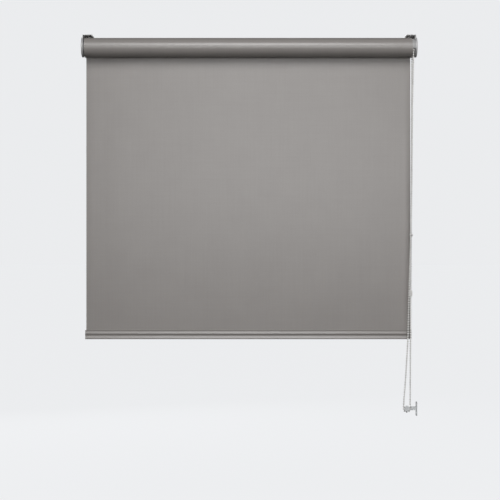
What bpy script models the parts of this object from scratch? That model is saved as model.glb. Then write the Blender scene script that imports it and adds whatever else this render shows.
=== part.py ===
"""Chain-operated roller blind for a window recess, as it hangs part lowered.

Frame: +X to the right as seen from the room, +Y towards the window, +Z up. The origin is the
middle of the blind on the head of the recess, straight above the roller's axis.

Each piece is one object. The roller's pieces have their origin on the roller's axis, the hanging
fabric's on the line where it leaves the roll, and the pieces on the chain on their own strand.
"""

import math

import bmesh
import bpy
from mathutils import Vector

MM = 0.001
COLLECTION_NAME = "roller_blind"

# Clearance between pieces that touch, seat or run on each other
GAP = 0.3 * MM

# Segments round a large turned piece, and round a small one
ROUND_STEPS = 48
SMALL_STEPS = 24

# Roller and fabric
FABRIC_WIDTH = 809.0 * MM
FABRIC_THICKNESS = 0.6 * MM
WOUND_DEPTH = 3.2 * MM            # fabric wound on the tube
HANGING_LENGTH = 702.0 * MM       # roller's axis down to the top of the rail
AXIS_DROP = 30.0 * MM             # head of the recess down to the roller's axis
TUBE_RADIUS = 20.0 * MM
TUBE_WALL = 1.3 * MM
KEYWAY_WIDTH = 3.0 * MM
KEYWAY_DEPTH = 1.8 * MM
KEYWAY_ANGLE = math.radians(90.0)
SPLINE_THICKNESS = 1.3 * MM

# Brackets and their covers
PLATE_THICKNESS = 1.6 * MM
PLATE_RADIUS = 22.7 * MM          # round nose of the side plate
PLATE_NECK = 14.0 * MM            # half the width of the neck that reaches the head
BACK_REACH = 38.0 * MM            # roller's axis to the back of the bracket
FLANGE_DEPTH = 22.0 * MM          # along the roller
PLATE_BOTTOM = 50.0 * MM          # head of the recess down to the foot of the back flange
FIXING_HOLE_RADIUS = 2.3 * MM
FIXING_HOLE_SETBACK = 12.0 * MM   # from the side plate's inner face
HEAD_HOLES = (-3.0 * MM, 21.0 * MM)
BACK_HOLES = (-14.0 * MM, -40.0 * MM)
COVER_CLEARANCE = 0.7 * MM        # side plate's nose to the inside of the rim
COVER_WALL = 1.2 * MM
COVER_DEPTH = 2.2 * MM            # beyond the side plate's outer face
LIP_REACH = 2.4 * MM              # rim's lip, from the plate's outer face back over its edge
COVER_EDGE = 1.0 * MM             # rounding of the cover's outer edge

# Chain drive
BEAD_DIAMETER = 4.5 * MM
BEAD_PITCH = 6.0 * MM
POCKETS = 16
WHEEL_WIDTH = 6.4 * MM
WHEEL_END_GAP = 0.4 * MM          # tube's end to the wheel
WHEEL_RISE = 2.7 * MM             # wheel's rim above the beads' middles
WHEEL_SLEEVE_RADIUS = 9.6 * MM
WHEEL_SLEEVE_LENGTH = 7.5 * MM
POCKET_CLEARANCE = 0.7 * MM       # all round a bead in its pocket
HUB_RADIUS = 6.0 * MM
HUB_LENGTH = 38.0 * MM
HUB_FLANGE_RADIUS = 13.0 * MM
HUB_FLANGE_THICKNESS = 0.9 * MM
HUB_BORE_RADIUS = 2.5 * MM
HUB_BORE_DEPTH = 17.0 * MM
SPIGOT_WIDTH = 8.0 * MM
GUARD_WALL = 2.2 * MM
GUARD_SPAN = math.radians(205.0)
DRUM_WALL = 2.4 * MM
DRUM_END_WALL = 1.5 * MM
DRUM_LENGTH = 21.5 * MM
SPRING_WIRE = 1.2 * MM
SPRING_TURNS = 5
SPRING_LENGTH = 7.4 * MM
SPRING_SPACING = 9.2 * MM
ADAPTER_LENGTH = 32.0 * MM
RETAINER_RADIUS = 9.5 * MM
RETAINER_THICKNESS = 1.5 * MM
SCREW_SHANK_RADIUS = 2.2 * MM
SCREW_HEAD_RADIUS = 4.2 * MM
SCREW_HEAD_HEIGHT = 2.6 * MM
SCREW_LENGTH = 14.0 * MM

# Splines that key the adapter and the idle plug into the tube
SPLINE_COUNT = 8
SPLINE_VALLEY = math.radians(12.0)
SPLINE_HEIGHT = 2.4 * MM

# Idle end
PLUG_FLANGE_THICKNESS = 1.0 * MM
PLUG_LENGTH = 33.0 * MM
PLUG_END_WALL = 5.3 * MM
PIN_RADIUS = 3.0 * MM
PIN_COLLAR_RADIUS = 6.0 * MM
PIN_COLLAR_THICKNESS = 2.0 * MM
PIN_TAIL = 14.0 * MM              # inboard of the collar
PIN_NOSE = 0.6 * MM               # beyond the side plate's outer face
BUSH_WALL = 1.7 * MM
BUSH_FLANGE_RADIUS = 7.5 * MM
BUSH_FLANGE_THICKNESS = 0.8 * MM
IDLE_RUNNING_GAP = 1.0 * MM       # plug's flange to the bush
PIN_SPRING_WIRE = 1.0 * MM
PIN_SPRING_TURNS = 7
PIN_SPRING_LENGTH = 20.1 * MM
PIN_RETAINER_THICKNESS = 3.0 * MM

# Bottom rail
RAIL_HEIGHT = 22.5 * MM
RAIL_DEPTH = 10.0 * MM
RAIL_WALL = 1.2 * MM
RAIL_WAIST = 2.0 * MM             # how far the face is hollowed between the ridge and the lip
RAIL_RIDGE = (                    # in from the widest part, down from the top
    (1.6 * MM, 0.0),
    (2.1 * MM, 3.2 * MM),
    (1.5 * MM, 5.0 * MM),
    (0.5 * MM, 7.0 * MM),
    (0.0, 8.3 * MM),
)
RAIL_HOLLOW_FACE = (              # share of the waist, down from the top
    (0.35, 9.8 * MM),
    (0.85, 12.2 * MM),
    (1.0, 14.0 * MM),
    (0.75, 15.8 * MM),
)
RAIL_LIP = (                      # in from the widest part, up from the foot
    (0.2 * MM, 3.0 * MM),
    (0.0, 1.6 * MM),
    (0.8 * MM, 0.4 * MM),
    (2.2 * MM, 0.0),
)
RAIL_CHANNEL_RADIUS = 2.3 * MM
RAIL_CHANNEL_DROP = 5.4 * MM      # top of the rail down to the channel's centre
CAP_THICKNESS = 2.4 * MM
CAP_SPIGOT_LENGTH = 9.0 * MM

# Pieces on the chain and its clip
CONNECTOR_LENGTH = 14.0 * MM
CONNECTOR_RADIUS = 3.9 * MM
CONNECTOR_HEIGHT = -640.0 * MM
STOP_BEAD_RADIUS = 4.3 * MM
STOP_BEAD_HEIGHT = -495.0 * MM
LOOP_CENTRE = Vector((393.0 * MM, 0.0, -925.0 * MM))
LOOP_RADIUS = 8.0 * MM
ROUTE_STEP = 30.0 * MM            # between the points of the chain's front strand
REVEAL_CLEARANCE = 1.4 * MM       # control cover to the side of the recess
CLIP_ARM_HEIGHT = 9.0 * MM
CLIP_ARM_THICKNESS = 2.6 * MM
CLIP_FOOT_THICKNESS = 2.4 * MM
CLIP_FOOT_HEIGHT = 34.0 * MM
CLIP_FOOT_WIDTH = 13.0 * MM
CLIP_LIP_RADIUS = 6.9 * MM
CLIP_LIP_THICKNESS = 1.2 * MM
CLIP_HOLE_RADIUS = 2.2 * MM
CLIP_HOLE_SPACING = 22.0 * MM

# The front strand, from the wheel down to the loop's end: (x, y, z) as the slack chain hangs
FRONT_STRAND = (
    (0.4066, -0.0146, -0.090),
    (0.4049, -0.0131, -0.170),
    (0.4034, -0.0090, -0.400),
    (0.4006, -0.0066, -0.540),
    (0.3974, -0.0046, -0.655),
    (0.3955, -0.0032, -0.740),
    (0.3934, -0.0024, -0.785),
    (0.3890, -0.0011, -0.860),
    (0.3858, -0.0003, -0.900),
)

# Derived places
AXIS = Vector((0.0, 0.0, -AXIS_DROP))
ROLL_RADIUS = TUBE_RADIUS + WOUND_DEPTH
TUBE_BORE = TUBE_RADIUS - TUBE_WALL
TUBE_END = FABRIC_WIDTH / 2
PITCH_RADIUS = POCKETS * BEAD_PITCH / (2 * math.pi)
CHAIN_BORE = BEAD_DIAMETER / 2 + GAP
POCKET_RADIUS = BEAD_DIAMETER / 2 + POCKET_CLEARANCE
WHEEL_FLANGE_RADIUS = PITCH_RADIUS + WHEEL_RISE
COVER_RADIUS = PLATE_RADIUS + COVER_CLEARANCE + COVER_WALL
CHAMBER_RADIUS = PIN_COLLAR_RADIUS + GAP
WHEEL_INNER = TUBE_END + WHEEL_END_GAP
WHEEL_OUTER = WHEEL_INNER + WHEEL_WIDTH
CHAIN_PLANE = (WHEEL_INNER + WHEEL_OUTER) / 2
HUB_SEAT = WHEEL_OUTER + GAP + HUB_FLANGE_THICKNESS
CONTROL_PLATE = HUB_SEAT + GAP
CONTROL_OUTER = CONTROL_PLATE + PLATE_THICKNESS
HUB_END = HUB_SEAT - HUB_FLANGE_THICKNESS - HUB_LENGTH
PLUG_FACE = TUBE_END + GAP + PLUG_FLANGE_THICKNESS
BUSH_FACE = PLUG_FACE + IDLE_RUNNING_GAP
IDLE_PLATE = BUSH_FACE + BUSH_FLANGE_THICKNESS + GAP
IDLE_OUTER = IDLE_PLATE + PLATE_THICKNESS
HUNG_FACE = ROLL_RADIUS + GAP
FABRIC_MIDDLE = HUNG_FACE + FABRIC_THICKNESS / 2
RAIL_TOP = -AXIS_DROP - HANGING_LENGTH
REVEAL = CONTROL_OUTER + COVER_DEPTH + REVEAL_CLEARANCE

# Colours as linear red, green, blue
TAUPE = (0.32, 0.30, 0.285)
RAIL_TAUPE = (0.30, 0.28, 0.265)
SILVER = (0.62, 0.62, 0.62)
STEEL = (0.55, 0.56, 0.57)
WHITE = (0.80, 0.80, 0.78)
GREY_PLASTIC = (0.35, 0.35, 0.36)
DARK_PLASTIC = (0.05, 0.05, 0.055)
CLEAR = (0.85, 0.87, 0.88)


def clear_scene():
    for old in list(bpy.data.objects):
        bpy.data.objects.remove(old, do_unlink=True)


def new_collection(name):
    collection = bpy.data.collections.new(name)
    bpy.context.scene.collection.children.link(collection)
    return collection


def new_material(name, colour, roughness, metallic=0.0):
    material = bpy.data.materials.new(name)
    material.use_nodes = True
    shader = material.node_tree.nodes["Principled BSDF"]
    shader.inputs["Base Color"].default_value = (*colour, 1.0)
    shader.inputs["Roughness"].default_value = roughness
    shader.inputs["Metallic"].default_value = metallic
    material.diffuse_color = (*colour, 1.0)
    return material


def place(name, mesh, location=(0.0, 0.0, 0.0), rotation=(0.0, 0.0, 0.0)):
    obj = bpy.data.objects.new(name, mesh)
    obj.location = location
    obj.rotation_euler = rotation
    bpy.context.scene.collection.objects.link(obj)
    return obj


def file_under(obj, collection):
    for old in list(obj.users_collection):
        old.objects.unlink(obj)
    collection.objects.link(obj)


def finish(obj, collection, colour, roughness, metallic=0.0, parent=None):
    """File a finished piece, give it its own material and hang it from its parent."""
    file_under(obj, collection)
    obj.data.materials.clear()
    obj.data.materials.append(new_material(obj.name + "_material", colour, roughness, metallic))
    if parent is not None:
        bpy.context.view_layer.update()
        obj.parent = parent
        obj.matrix_parent_inverse = parent.matrix_world.inverted()
    return obj


def make_cutter(obj):
    """Hide a tool body and keep it in the cutters' collection."""
    obj.hide_render = True
    obj.display_type = "WIRE"
    file_under(obj, CUTTERS)
    return obj


def combine(target, tool, operation):
    modifier = target.modifiers.new(tool.name, "BOOLEAN")
    modifier.operation = operation
    modifier.solver = "EXACT"
    modifier.object = make_cutter(tool)


def cut(target, tool):
    combine(target, tool, "DIFFERENCE")


def join(target, tool):
    combine(target, tool, "UNION")


def box(name, low, high):
    """A block between two opposite corners."""
    low = Vector(low)
    high = Vector(high)
    shape = bmesh.new()
    bmesh.ops.create_cube(shape, size=1.0)
    bmesh.ops.scale(shape, vec=high - low, verts=shape.verts)
    mesh = bpy.data.meshes.new(name)
    shape.to_mesh(mesh)
    shape.free()
    return place(name, mesh, (low + high) / 2)


def cylinder(name, radius, start, end, steps=SMALL_STEPS):
    """A plain round bar between two points."""
    start = Vector(start)
    end = Vector(end)
    shape = bmesh.new()
    bmesh.ops.create_cone(
        shape, cap_ends=True, segments=steps, radius1=radius, radius2=radius, depth=(end - start).length
    )
    mesh = bpy.data.meshes.new(name)
    shape.to_mesh(mesh)
    shape.free()
    turn = (end - start).to_track_quat("Z", "Y").to_euler()
    return place(name, mesh, (start + end) / 2, turn)


def turned(name, profile, location=AXIS, facing=1.0, steps=ROUND_STEPS, direction=None):
    """Spin (station, radius) points about X, or about a given direction.

    A profile that starts and ends on the axis makes a solid piece, and any other makes a ring.
    With facing -1 the stations run towards -X.
    """
    count = len(profile)
    area = 0.0
    for index in range(count):
        station, radius = profile[index]
        next_station, next_radius = profile[(index + 1) % count]
        area += radius * next_station - next_radius * station
    ordered = list(profile) if area < 0 else list(reversed(profile))
    solid = profile[0][1] == 0.0 and profile[-1][1] == 0.0
    edges = [(index, index + 1) for index in range(count - 1)]
    if not solid:
        edges.append((count - 1, 0))
    mesh = bpy.data.meshes.new(name)
    mesh.from_pydata([(radius, 0.0, station) for station, radius in ordered], edges, [])
    if direction is None:
        rotation = (0.0, facing * math.pi / 2, 0.0)
    else:
        rotation = direction.to_track_quat("Z", "Y").to_euler()
    obj = place(name, mesh, location, rotation)
    screw = obj.modifiers.new("spin", "SCREW")
    screw.axis = "Z"
    screw.angle = 2 * math.pi
    screw.steps = steps
    screw.render_steps = steps
    screw.use_merge_vertices = True
    screw.merge_threshold = 0.00001
    screw.use_smooth_shade = True
    return obj


def curve_to_mesh(curve_object):
    """Turn a curve into a welded, outward-facing mesh in the same place."""
    bpy.context.view_layer.update()
    evaluated = curve_object.evaluated_get(bpy.context.evaluated_depsgraph_get())
    mesh = bpy.data.meshes.new_from_object(evaluated)
    shape = bmesh.new()
    shape.from_mesh(mesh)
    bmesh.ops.remove_doubles(shape, verts=shape.verts, dist=0.000001)
    bmesh.ops.recalc_face_normals(shape, faces=shape.faces)
    shape.to_mesh(mesh)
    shape.free()
    name = curve_object.name
    matrix = curve_object.matrix_world.copy()
    bpy.data.objects.remove(curve_object, do_unlink=True)
    solid = place(name, mesh)
    solid.name = name
    solid.matrix_world = matrix
    mesh.shade_smooth()
    mesh.set_sharp_from_angle(angle=math.radians(35.0))
    return solid


def extruded(name, outlines, x_low, x_high, origin=AXIS):
    """Draw closed (y, z) outlines about the origin, the inner ones as holes, along X."""
    curve = bpy.data.curves.new(name, "CURVE")
    curve.dimensions = "2D"
    curve.fill_mode = "BOTH"
    curve.extrude = (x_high - x_low) / 2
    for outline in outlines:
        spline = curve.splines.new("POLY")
        spline.points.add(len(outline) - 1)
        spline.use_cyclic_u = True
        for point, (y, z) in zip(spline.points, outline):
            point.co = (-z, y, 0.0, 1.0)
    middle = Vector(((x_low + x_high) / 2, 0.0, 0.0))
    return curve_to_mesh(place(name, curve, origin + middle, (0.0, math.pi / 2, 0.0)))


def wire(name, points, radius, closed=False, sides=8):
    """A round wire or tube through the given points."""
    curve = bpy.data.curves.new(name, "CURVE")
    curve.dimensions = "3D"
    curve.bevel_depth = radius
    curve.bevel_resolution = (sides - 4) // 2
    curve.use_fill_caps = not closed
    spline = curve.splines.new("POLY")
    spline.points.add(len(points) - 1)
    spline.use_cyclic_u = closed
    for point, place_of in zip(spline.points, points):
        point.co = (*place_of, 1.0)
    return curve_to_mesh(place(name, curve))


def arc(centre, radius, start, end, steps):
    """Points of a round stretch in the (y, z) plane, from one angle to another."""
    angles = [start + (end - start) * step / steps for step in range(steps + 1)]
    return [(centre[0] + radius * math.cos(a), centre[1] + radius * math.sin(a)) for a in angles]


def circle(radius, steps=ROUND_STEPS):
    return arc((0.0, 0.0), radius, 0.0, 2 * math.pi, steps)[:-1]


def coil(radius, start, end, turns, per_turn=16):
    """Points of a helix about the roller's axis, between two stations on X."""
    count = turns * per_turn
    points = []
    for step in range(count + 1):
        angle = 2 * math.pi * step / per_turn
        x = start + (end - start) * step / count
        points.append((x, radius * math.cos(angle), AXIS.z + radius * math.sin(angle)))
    return points


def splined_outline(outer_radius):
    """Outline of a plug with ribs that grip the tube and valleys that clear its keyway."""
    pitch = 2 * math.pi / SPLINE_COUNT
    outline = []
    for rib in range(SPLINE_COUNT):
        middle = KEYWAY_ANGLE + rib * pitch
        outline += arc((0.0, 0.0), outer_radius - SPLINE_HEIGHT, middle - SPLINE_VALLEY,
                       middle + SPLINE_VALLEY, 3)
        outline += arc((0.0, 0.0), outer_radius, middle + SPLINE_VALLEY,
                       middle + pitch - SPLINE_VALLEY, 3)
    return outline


def keyed_circle(radius, half_width, notch_radius):
    """A circle with a flat-bottomed notch at the keyway."""
    half_angle = math.asin(half_width / radius)
    notch_angle = math.asin(half_width / notch_radius)
    start = KEYWAY_ANGLE + half_angle
    end = KEYWAY_ANGLE + 2 * math.pi - half_angle
    floor = [
        (notch_radius * math.cos(angle), notch_radius * math.sin(angle))
        for angle in (KEYWAY_ANGLE - notch_angle, KEYWAY_ANGLE + notch_angle)
    ]
    return arc((0.0, 0.0), radius, start, end, ROUND_STEPS) + floor


def side_plate_outline():
    """Side plate of a bracket: a round nose, with its neck and back ending inside the flanges."""
    inset = PLATE_THICKNESS / 2
    neck_angle = math.acos(-PLATE_NECK / PLATE_RADIUS)
    top = AXIS_DROP - inset
    back = BACK_REACH - inset
    foot = AXIS_DROP - PLATE_BOTTOM + inset
    foot_angle = math.asin(foot / PLATE_RADIUS) + 2 * math.pi
    nose = arc((0.0, 0.0), PLATE_RADIUS, neck_angle, foot_angle, 22)
    return [(-PLATE_NECK, top)] + nose + [(back, foot), (back, top)]


def build_bracket(name, side, plate_face):
    """A pressed bracket with a flange for the head of the recess and one for the wall behind."""
    inner = side * plate_face
    outer = side * (plate_face + PLATE_THICKNESS)
    tip = side * (plate_face - FLANGE_DEPTH)
    root = side * (plate_face + PLATE_THICKNESS / 2)
    bend = PLATE_THICKNESS / 2
    hole = side * (plate_face - FIXING_HOLE_SETBACK)
    bracket = extruded(name, [side_plate_outline()], min(inner, outer), max(inner, outer))
    low_x = min(tip, root)
    high_x = max(tip, root)
    head = box(
        name + "_head_flange",
        (low_x, bend - PLATE_NECK, -PLATE_THICKNESS),
        (high_x, BACK_REACH - bend, 0.0),
    )
    wall = box(
        name + "_wall_flange",
        (low_x, BACK_REACH - PLATE_THICKNESS, -PLATE_BOTTOM),
        (high_x, BACK_REACH, -bend),
    )
    join(bracket, head)
    join(bracket, wall)
    reach = 2 * PLATE_THICKNESS
    for index, y in enumerate(HEAD_HOLES):
        start = (hole, y, -reach)
        end = (hole, y, reach)
        cut(bracket, cylinder(f"{name}_head_hole_{index}", FIXING_HOLE_RADIUS, start, end))
    for index, z in enumerate(BACK_HOLES):
        start = (hole, BACK_REACH - reach, z)
        end = (hole, BACK_REACH + reach, z)
        cut(bracket, cylinder(f"{name}_wall_hole_{index}", FIXING_HOLE_RADIUS, start, end))
    return bracket


def build_cover(name, side, plate_outer):
    """A round dished cover whose lip wraps the front and foot of the side plate."""
    face = plate_outer + COVER_DEPTH
    lip = plate_outer - LIP_REACH
    bore = COVER_RADIUS - COVER_WALL
    rounding = arc((face - COVER_EDGE, COVER_RADIUS - COVER_EDGE), COVER_EDGE, 0.0, math.pi / 2, 3)
    profile = [(face, 0.0)] + rounding
    profile += [(lip, COVER_RADIUS), (lip, bore), (face - COVER_WALL, bore), (face - COVER_WALL, 0.0)]
    cover = turned(name, profile, facing=side)
    near = side * (lip - PLATE_THICKNESS)
    far = side * (plate_outer + GAP)
    low_x = min(near, far)
    high_x = max(near, far)
    beyond = 2 * COVER_RADIUS
    foot = -PLATE_BOTTOM - GAP
    shoulder_y = math.sqrt(PLATE_RADIUS ** 2 - (PLATE_BOTTOM - AXIS_DROP) ** 2) - 2 * PLATE_THICKNESS
    cut(cover, box(name + "_neck_slot", (low_x, -PLATE_NECK - GAP, AXIS.z / 2), (high_x, beyond, beyond)))
    cut(cover, box(name + "_wall_slot", (low_x, shoulder_y, foot), (high_x, beyond, beyond)))
    return cover


def build_control_end(parts, roller, wheel_axis):
    """Bracket, cover and clutch at the end that the chain drives."""
    bracket = build_bracket("control_bracket", 1.0, CONTROL_PLATE)
    half = SPIGOT_WIDTH / 2
    hole = half + GAP
    cut(bracket, box(
        "spigot_hole",
        (CONTROL_PLATE - PLATE_THICKNESS, -hole, AXIS.z - hole),
        (CONTROL_OUTER + PLATE_THICKNESS, hole, AXIS.z + hole),
    ))
    finish(bracket, parts, SILVER, 0.4, 0.6)
    finish(build_cover("control_cover", 1.0, CONTROL_OUTER), parts, SILVER, 0.35, 0.7)

    seat = HUB_SEAT - HUB_FLANGE_THICKNESS
    hub = turned("clutch_hub", [
        (HUB_SEAT, 0.0),
        (HUB_SEAT, HUB_FLANGE_RADIUS),
        (seat, HUB_FLANGE_RADIUS),
        (seat, HUB_RADIUS),
        (HUB_END, HUB_RADIUS),
        (HUB_END, HUB_BORE_RADIUS),
        (HUB_END + HUB_BORE_DEPTH, HUB_BORE_RADIUS),
        (HUB_END + HUB_BORE_DEPTH, 0.0),
    ])
    join(hub, box(
        "hub_spigot",
        (HUB_SEAT - HUB_FLANGE_THICKNESS / 2, -half, AXIS.z - half),
        (CONTROL_OUTER - GAP, half, AXIS.z + half),
    ))
    finish(hub, parts, GREY_PLASTIC, 0.5)

    inner = WHEEL_FLANGE_RADIUS + 2 * GAP
    middle = math.pi / 2
    outline = arc((0.0, 0.0), inner + GUARD_WALL, middle - GUARD_SPAN / 2, middle + GUARD_SPAN / 2, 24)
    outline += arc((0.0, 0.0), inner, middle + GUARD_SPAN / 2, middle - GUARD_SPAN / 2, 24)
    guard = extruded("chain_guard", [outline], WHEEL_INNER, HUB_SEAT)
    finish(guard, parts, GREY_PLASTIC, 0.5)

    build_chain_wheel(parts, wheel_axis)

    drum_end = HUB_END - DRUM_END_WALL / 2
    drum_inner = drum_end + DRUM_END_WALL
    bore = HUB_RADIUS + GAP + SPRING_WIRE + 2 * GAP
    drum = turned("clutch_drum", [
        (drum_end + DRUM_LENGTH, bore),
        (drum_end + DRUM_LENGTH, bore + DRUM_WALL),
        (drum_end, bore + DRUM_WALL),
        (drum_end, HUB_RADIUS + GAP),
        (drum_inner, HUB_RADIUS + GAP),
        (drum_inner, bore),
    ])
    finish(drum, parts, DARK_PLASTIC, 0.45, parent=roller)

    for index in range(2):
        start = drum_inner + SPRING_WIRE + index * SPRING_SPACING
        points = coil(HUB_RADIUS + GAP + SPRING_WIRE / 2, start, start + SPRING_LENGTH, SPRING_TURNS)
        spring = wire(f"wrap_spring_{index + 1}", points, SPRING_WIRE / 2, sides=6)
        finish(spring, parts, STEEL, 0.3, 1.0, parent=roller)

    adapter_bore = bore + DRUM_WALL + GAP
    adapter = extruded(
        "tube_adapter",
        [splined_outline(TUBE_BORE - GAP), circle(adapter_bore, SMALL_STEPS)],
        TUBE_END - ADAPTER_LENGTH,
        TUBE_END - GAP,
    )
    finish(adapter, parts, GREY_PLASTIC, 0.5, parent=roller)

    washer_outer = drum_end - GAP
    washer_inner = washer_outer - RETAINER_THICKNESS
    washer = turned("clutch_washer", [
        (washer_outer, RETAINER_RADIUS),
        (washer_inner, RETAINER_RADIUS),
        (washer_inner, HUB_BORE_RADIUS),
        (washer_outer, HUB_BORE_RADIUS),
    ], steps=SMALL_STEPS)
    finish(washer, parts, STEEL, 0.3, 1.0)

    head = washer_inner - GAP
    screw = turned("clutch_screw", [
        (head + SCREW_LENGTH, 0.0),
        (head + SCREW_LENGTH, SCREW_SHANK_RADIUS),
        (head, SCREW_SHANK_RADIUS),
        (head, SCREW_HEAD_RADIUS),
        (head - SCREW_HEAD_HEIGHT, SCREW_HEAD_RADIUS),
        (head - SCREW_HEAD_HEIGHT, 0.0),
    ], steps=SMALL_STEPS)
    finish(screw, parts, STEEL, 0.3, 1.0)


def build_chain_wheel(parts, wheel_axis):
    """The grooved wheel, with a pocket for each bead and a sleeve that turns on the hub."""
    groove = [
        (CHAIN_PLANE + CHAIN_BORE * math.cos(a), PITCH_RADIUS - CHAIN_BORE * math.sin(a))
        for a in (math.pi * step / 8 for step in range(9))
    ]
    bore = HUB_RADIUS + GAP
    profile = [(WHEEL_OUTER, bore), (WHEEL_OUTER, WHEEL_FLANGE_RADIUS)]
    profile += [(CHAIN_PLANE + CHAIN_BORE, WHEEL_FLANGE_RADIUS)] + groove
    profile += [
        (CHAIN_PLANE - CHAIN_BORE, WHEEL_FLANGE_RADIUS),
        (WHEEL_INNER, WHEEL_FLANGE_RADIUS),
        (WHEEL_INNER, WHEEL_SLEEVE_RADIUS),
        (WHEEL_INNER - WHEEL_SLEEVE_LENGTH, WHEEL_SLEEVE_RADIUS),
        (WHEEL_INNER - WHEEL_SLEEVE_LENGTH, bore),
    ]
    wheel = turned("chain_wheel", profile, steps=2 * POCKETS)
    shape = bmesh.new()
    for pocket in range(POCKETS):
        angle = 2 * math.pi * (pocket + 0.5) / POCKETS
        made = bmesh.ops.create_uvsphere(shape, u_segments=8, v_segments=6, radius=POCKET_RADIUS)
        centre = Vector((
            CHAIN_PLANE,
            PITCH_RADIUS * math.cos(angle),
            AXIS.z + PITCH_RADIUS * math.sin(angle),
        ))
        bmesh.ops.translate(shape, vec=centre, verts=made["verts"])
    mesh = bpy.data.meshes.new("bead_pockets")
    shape.to_mesh(mesh)
    shape.free()
    cut(wheel, place("bead_pockets", mesh))
    finish(wheel, parts, WHITE, 0.45, parent=wheel_axis)


def build_idle_end(parts, roller, pin_axis):
    """Bracket, cover, bush and the plug with its sprung pin."""
    bracket = build_bracket("idle_bracket", -1.0, IDLE_PLATE)
    bush_outer = PIN_RADIUS + GAP + BUSH_WALL
    cut(bracket, cylinder(
        "bush_hole",
        bush_outer + GAP,
        (-IDLE_PLATE + PLATE_THICKNESS, 0.0, AXIS.z),
        (-IDLE_OUTER - PLATE_THICKNESS, 0.0, AXIS.z),
    ))
    finish(bracket, parts, SILVER, 0.4, 0.6)
    finish(build_cover("idle_cover", -1.0, IDLE_OUTER), parts, SILVER, 0.35, 0.7)

    bush_back = IDLE_PLATE - GAP
    bush = turned("idle_bush", [
        (BUSH_FACE, PIN_RADIUS + GAP),
        (BUSH_FACE, BUSH_FLANGE_RADIUS),
        (bush_back, BUSH_FLANGE_RADIUS),
        (bush_back, bush_outer),
        (IDLE_OUTER, bush_outer),
        (IDLE_OUTER, PIN_RADIUS + GAP),
    ], facing=-1.0, steps=SMALL_STEPS)
    finish(bush, parts, WHITE, 0.5)

    inner_face = PLUG_FACE - PLUG_FLANGE_THICKNESS
    plug_end = PLUG_FACE - PLUG_LENGTH
    chamber_start = PLUG_FACE - PLUG_END_WALL
    flange_middle = PLUG_FACE - PLUG_FLANGE_THICKNESS / 2
    plug = extruded("idle_plug", [splined_outline(TUBE_BORE - GAP)], -flange_middle, -plug_end)
    flange_start = (-PLUG_FACE, 0, AXIS.z)
    flange_end = (-inner_face, 0, AXIS.z)
    join(plug, cylinder("plug_flange", TUBE_RADIUS, flange_start, flange_end, ROUND_STEPS))
    beyond = PLUG_FLANGE_THICKNESS
    cut(plug, cylinder(
        "pin_bore",
        PIN_RADIUS + GAP,
        (-PLUG_FACE - beyond, 0, AXIS.z),
        (-chamber_start + beyond, 0, AXIS.z),
    ))
    cut(plug, cylinder(
        "spring_chamber",
        CHAMBER_RADIUS,
        (-chamber_start, 0, AXIS.z),
        (-plug_end + beyond, 0, AXIS.z),
    ))
    finish(plug, parts, GREY_PLASTIC, 0.5, parent=roller)

    collar = chamber_start - GAP
    collar_back = collar - PIN_COLLAR_THICKNESS
    nose = IDLE_OUTER + PIN_NOSE
    pin = turned("idle_pin", [
        (collar_back - PIN_TAIL, 0.0),
        (collar_back - PIN_TAIL, PIN_RADIUS),
        (collar_back, PIN_RADIUS),
        (collar_back, PIN_COLLAR_RADIUS),
        (collar, PIN_COLLAR_RADIUS),
        (collar, PIN_RADIUS),
        (nose - PIN_RADIUS / 3, PIN_RADIUS),
        (nose, PIN_RADIUS * 2 / 3),
        (nose, 0.0),
    ], facing=-1.0, steps=SMALL_STEPS)
    finish(pin, parts, STEEL, 0.3, 1.0, parent=pin_axis)

    wire_radius = PIN_SPRING_WIRE / 2
    spring_start = collar_back - GAP - wire_radius
    spring_end = spring_start - PIN_SPRING_LENGTH + PIN_SPRING_WIRE
    coil_radius = (PIN_RADIUS + CHAMBER_RADIUS) / 2
    points = coil(coil_radius, -spring_start, -spring_end, PIN_SPRING_TURNS, per_turn=12)
    finish(wire("idle_pin_spring", points, wire_radius, sides=6), parts, STEEL, 0.3, 1.0, parent=roller)

    stop = spring_end - wire_radius - GAP
    retainer = turned("pin_retainer", [
        (stop, PIN_RADIUS + GAP),
        (stop, CHAMBER_RADIUS - GAP),
        (stop - PIN_RETAINER_THICKNESS, CHAMBER_RADIUS - GAP),
        (stop - PIN_RETAINER_THICKNESS, PIN_RADIUS + GAP),
    ], facing=-1.0, steps=SMALL_STEPS)
    finish(retainer, parts, DARK_PLASTIC, 0.5, parent=roller)


def build_roller(parts, roller):
    """Keyed tube, the strip that locks the fabric in its keyway, and the wound fabric."""
    half_key = KEYWAY_WIDTH / 2
    tube = extruded("roller_tube", [
        keyed_circle(TUBE_RADIUS, half_key, TUBE_RADIUS - KEYWAY_DEPTH),
        keyed_circle(TUBE_BORE, half_key + TUBE_WALL, TUBE_BORE - KEYWAY_DEPTH),
    ], -TUBE_END, TUBE_END)
    finish(tube, parts, STEEL, 0.35, 1.0, parent=roller)

    floor = TUBE_RADIUS - KEYWAY_DEPTH
    half_strip = half_key - GAP
    strip = extruded("fabric_spline", [[
        (-half_strip, floor + GAP),
        (half_strip, floor + GAP),
        (half_strip, floor + GAP + SPLINE_THICKNESS),
        (-half_strip, floor + GAP + SPLINE_THICKNESS),
    ]], -TUBE_END, TUBE_END)
    finish(strip, parts, WHITE, 0.6, parent=roller)

    roll = extruded("fabric_roll", [circle(ROLL_RADIUS), circle(TUBE_RADIUS + GAP)], -TUBE_END, TUBE_END)
    finish(roll, parts, TAUPE, 0.85, parent=roller)


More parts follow.
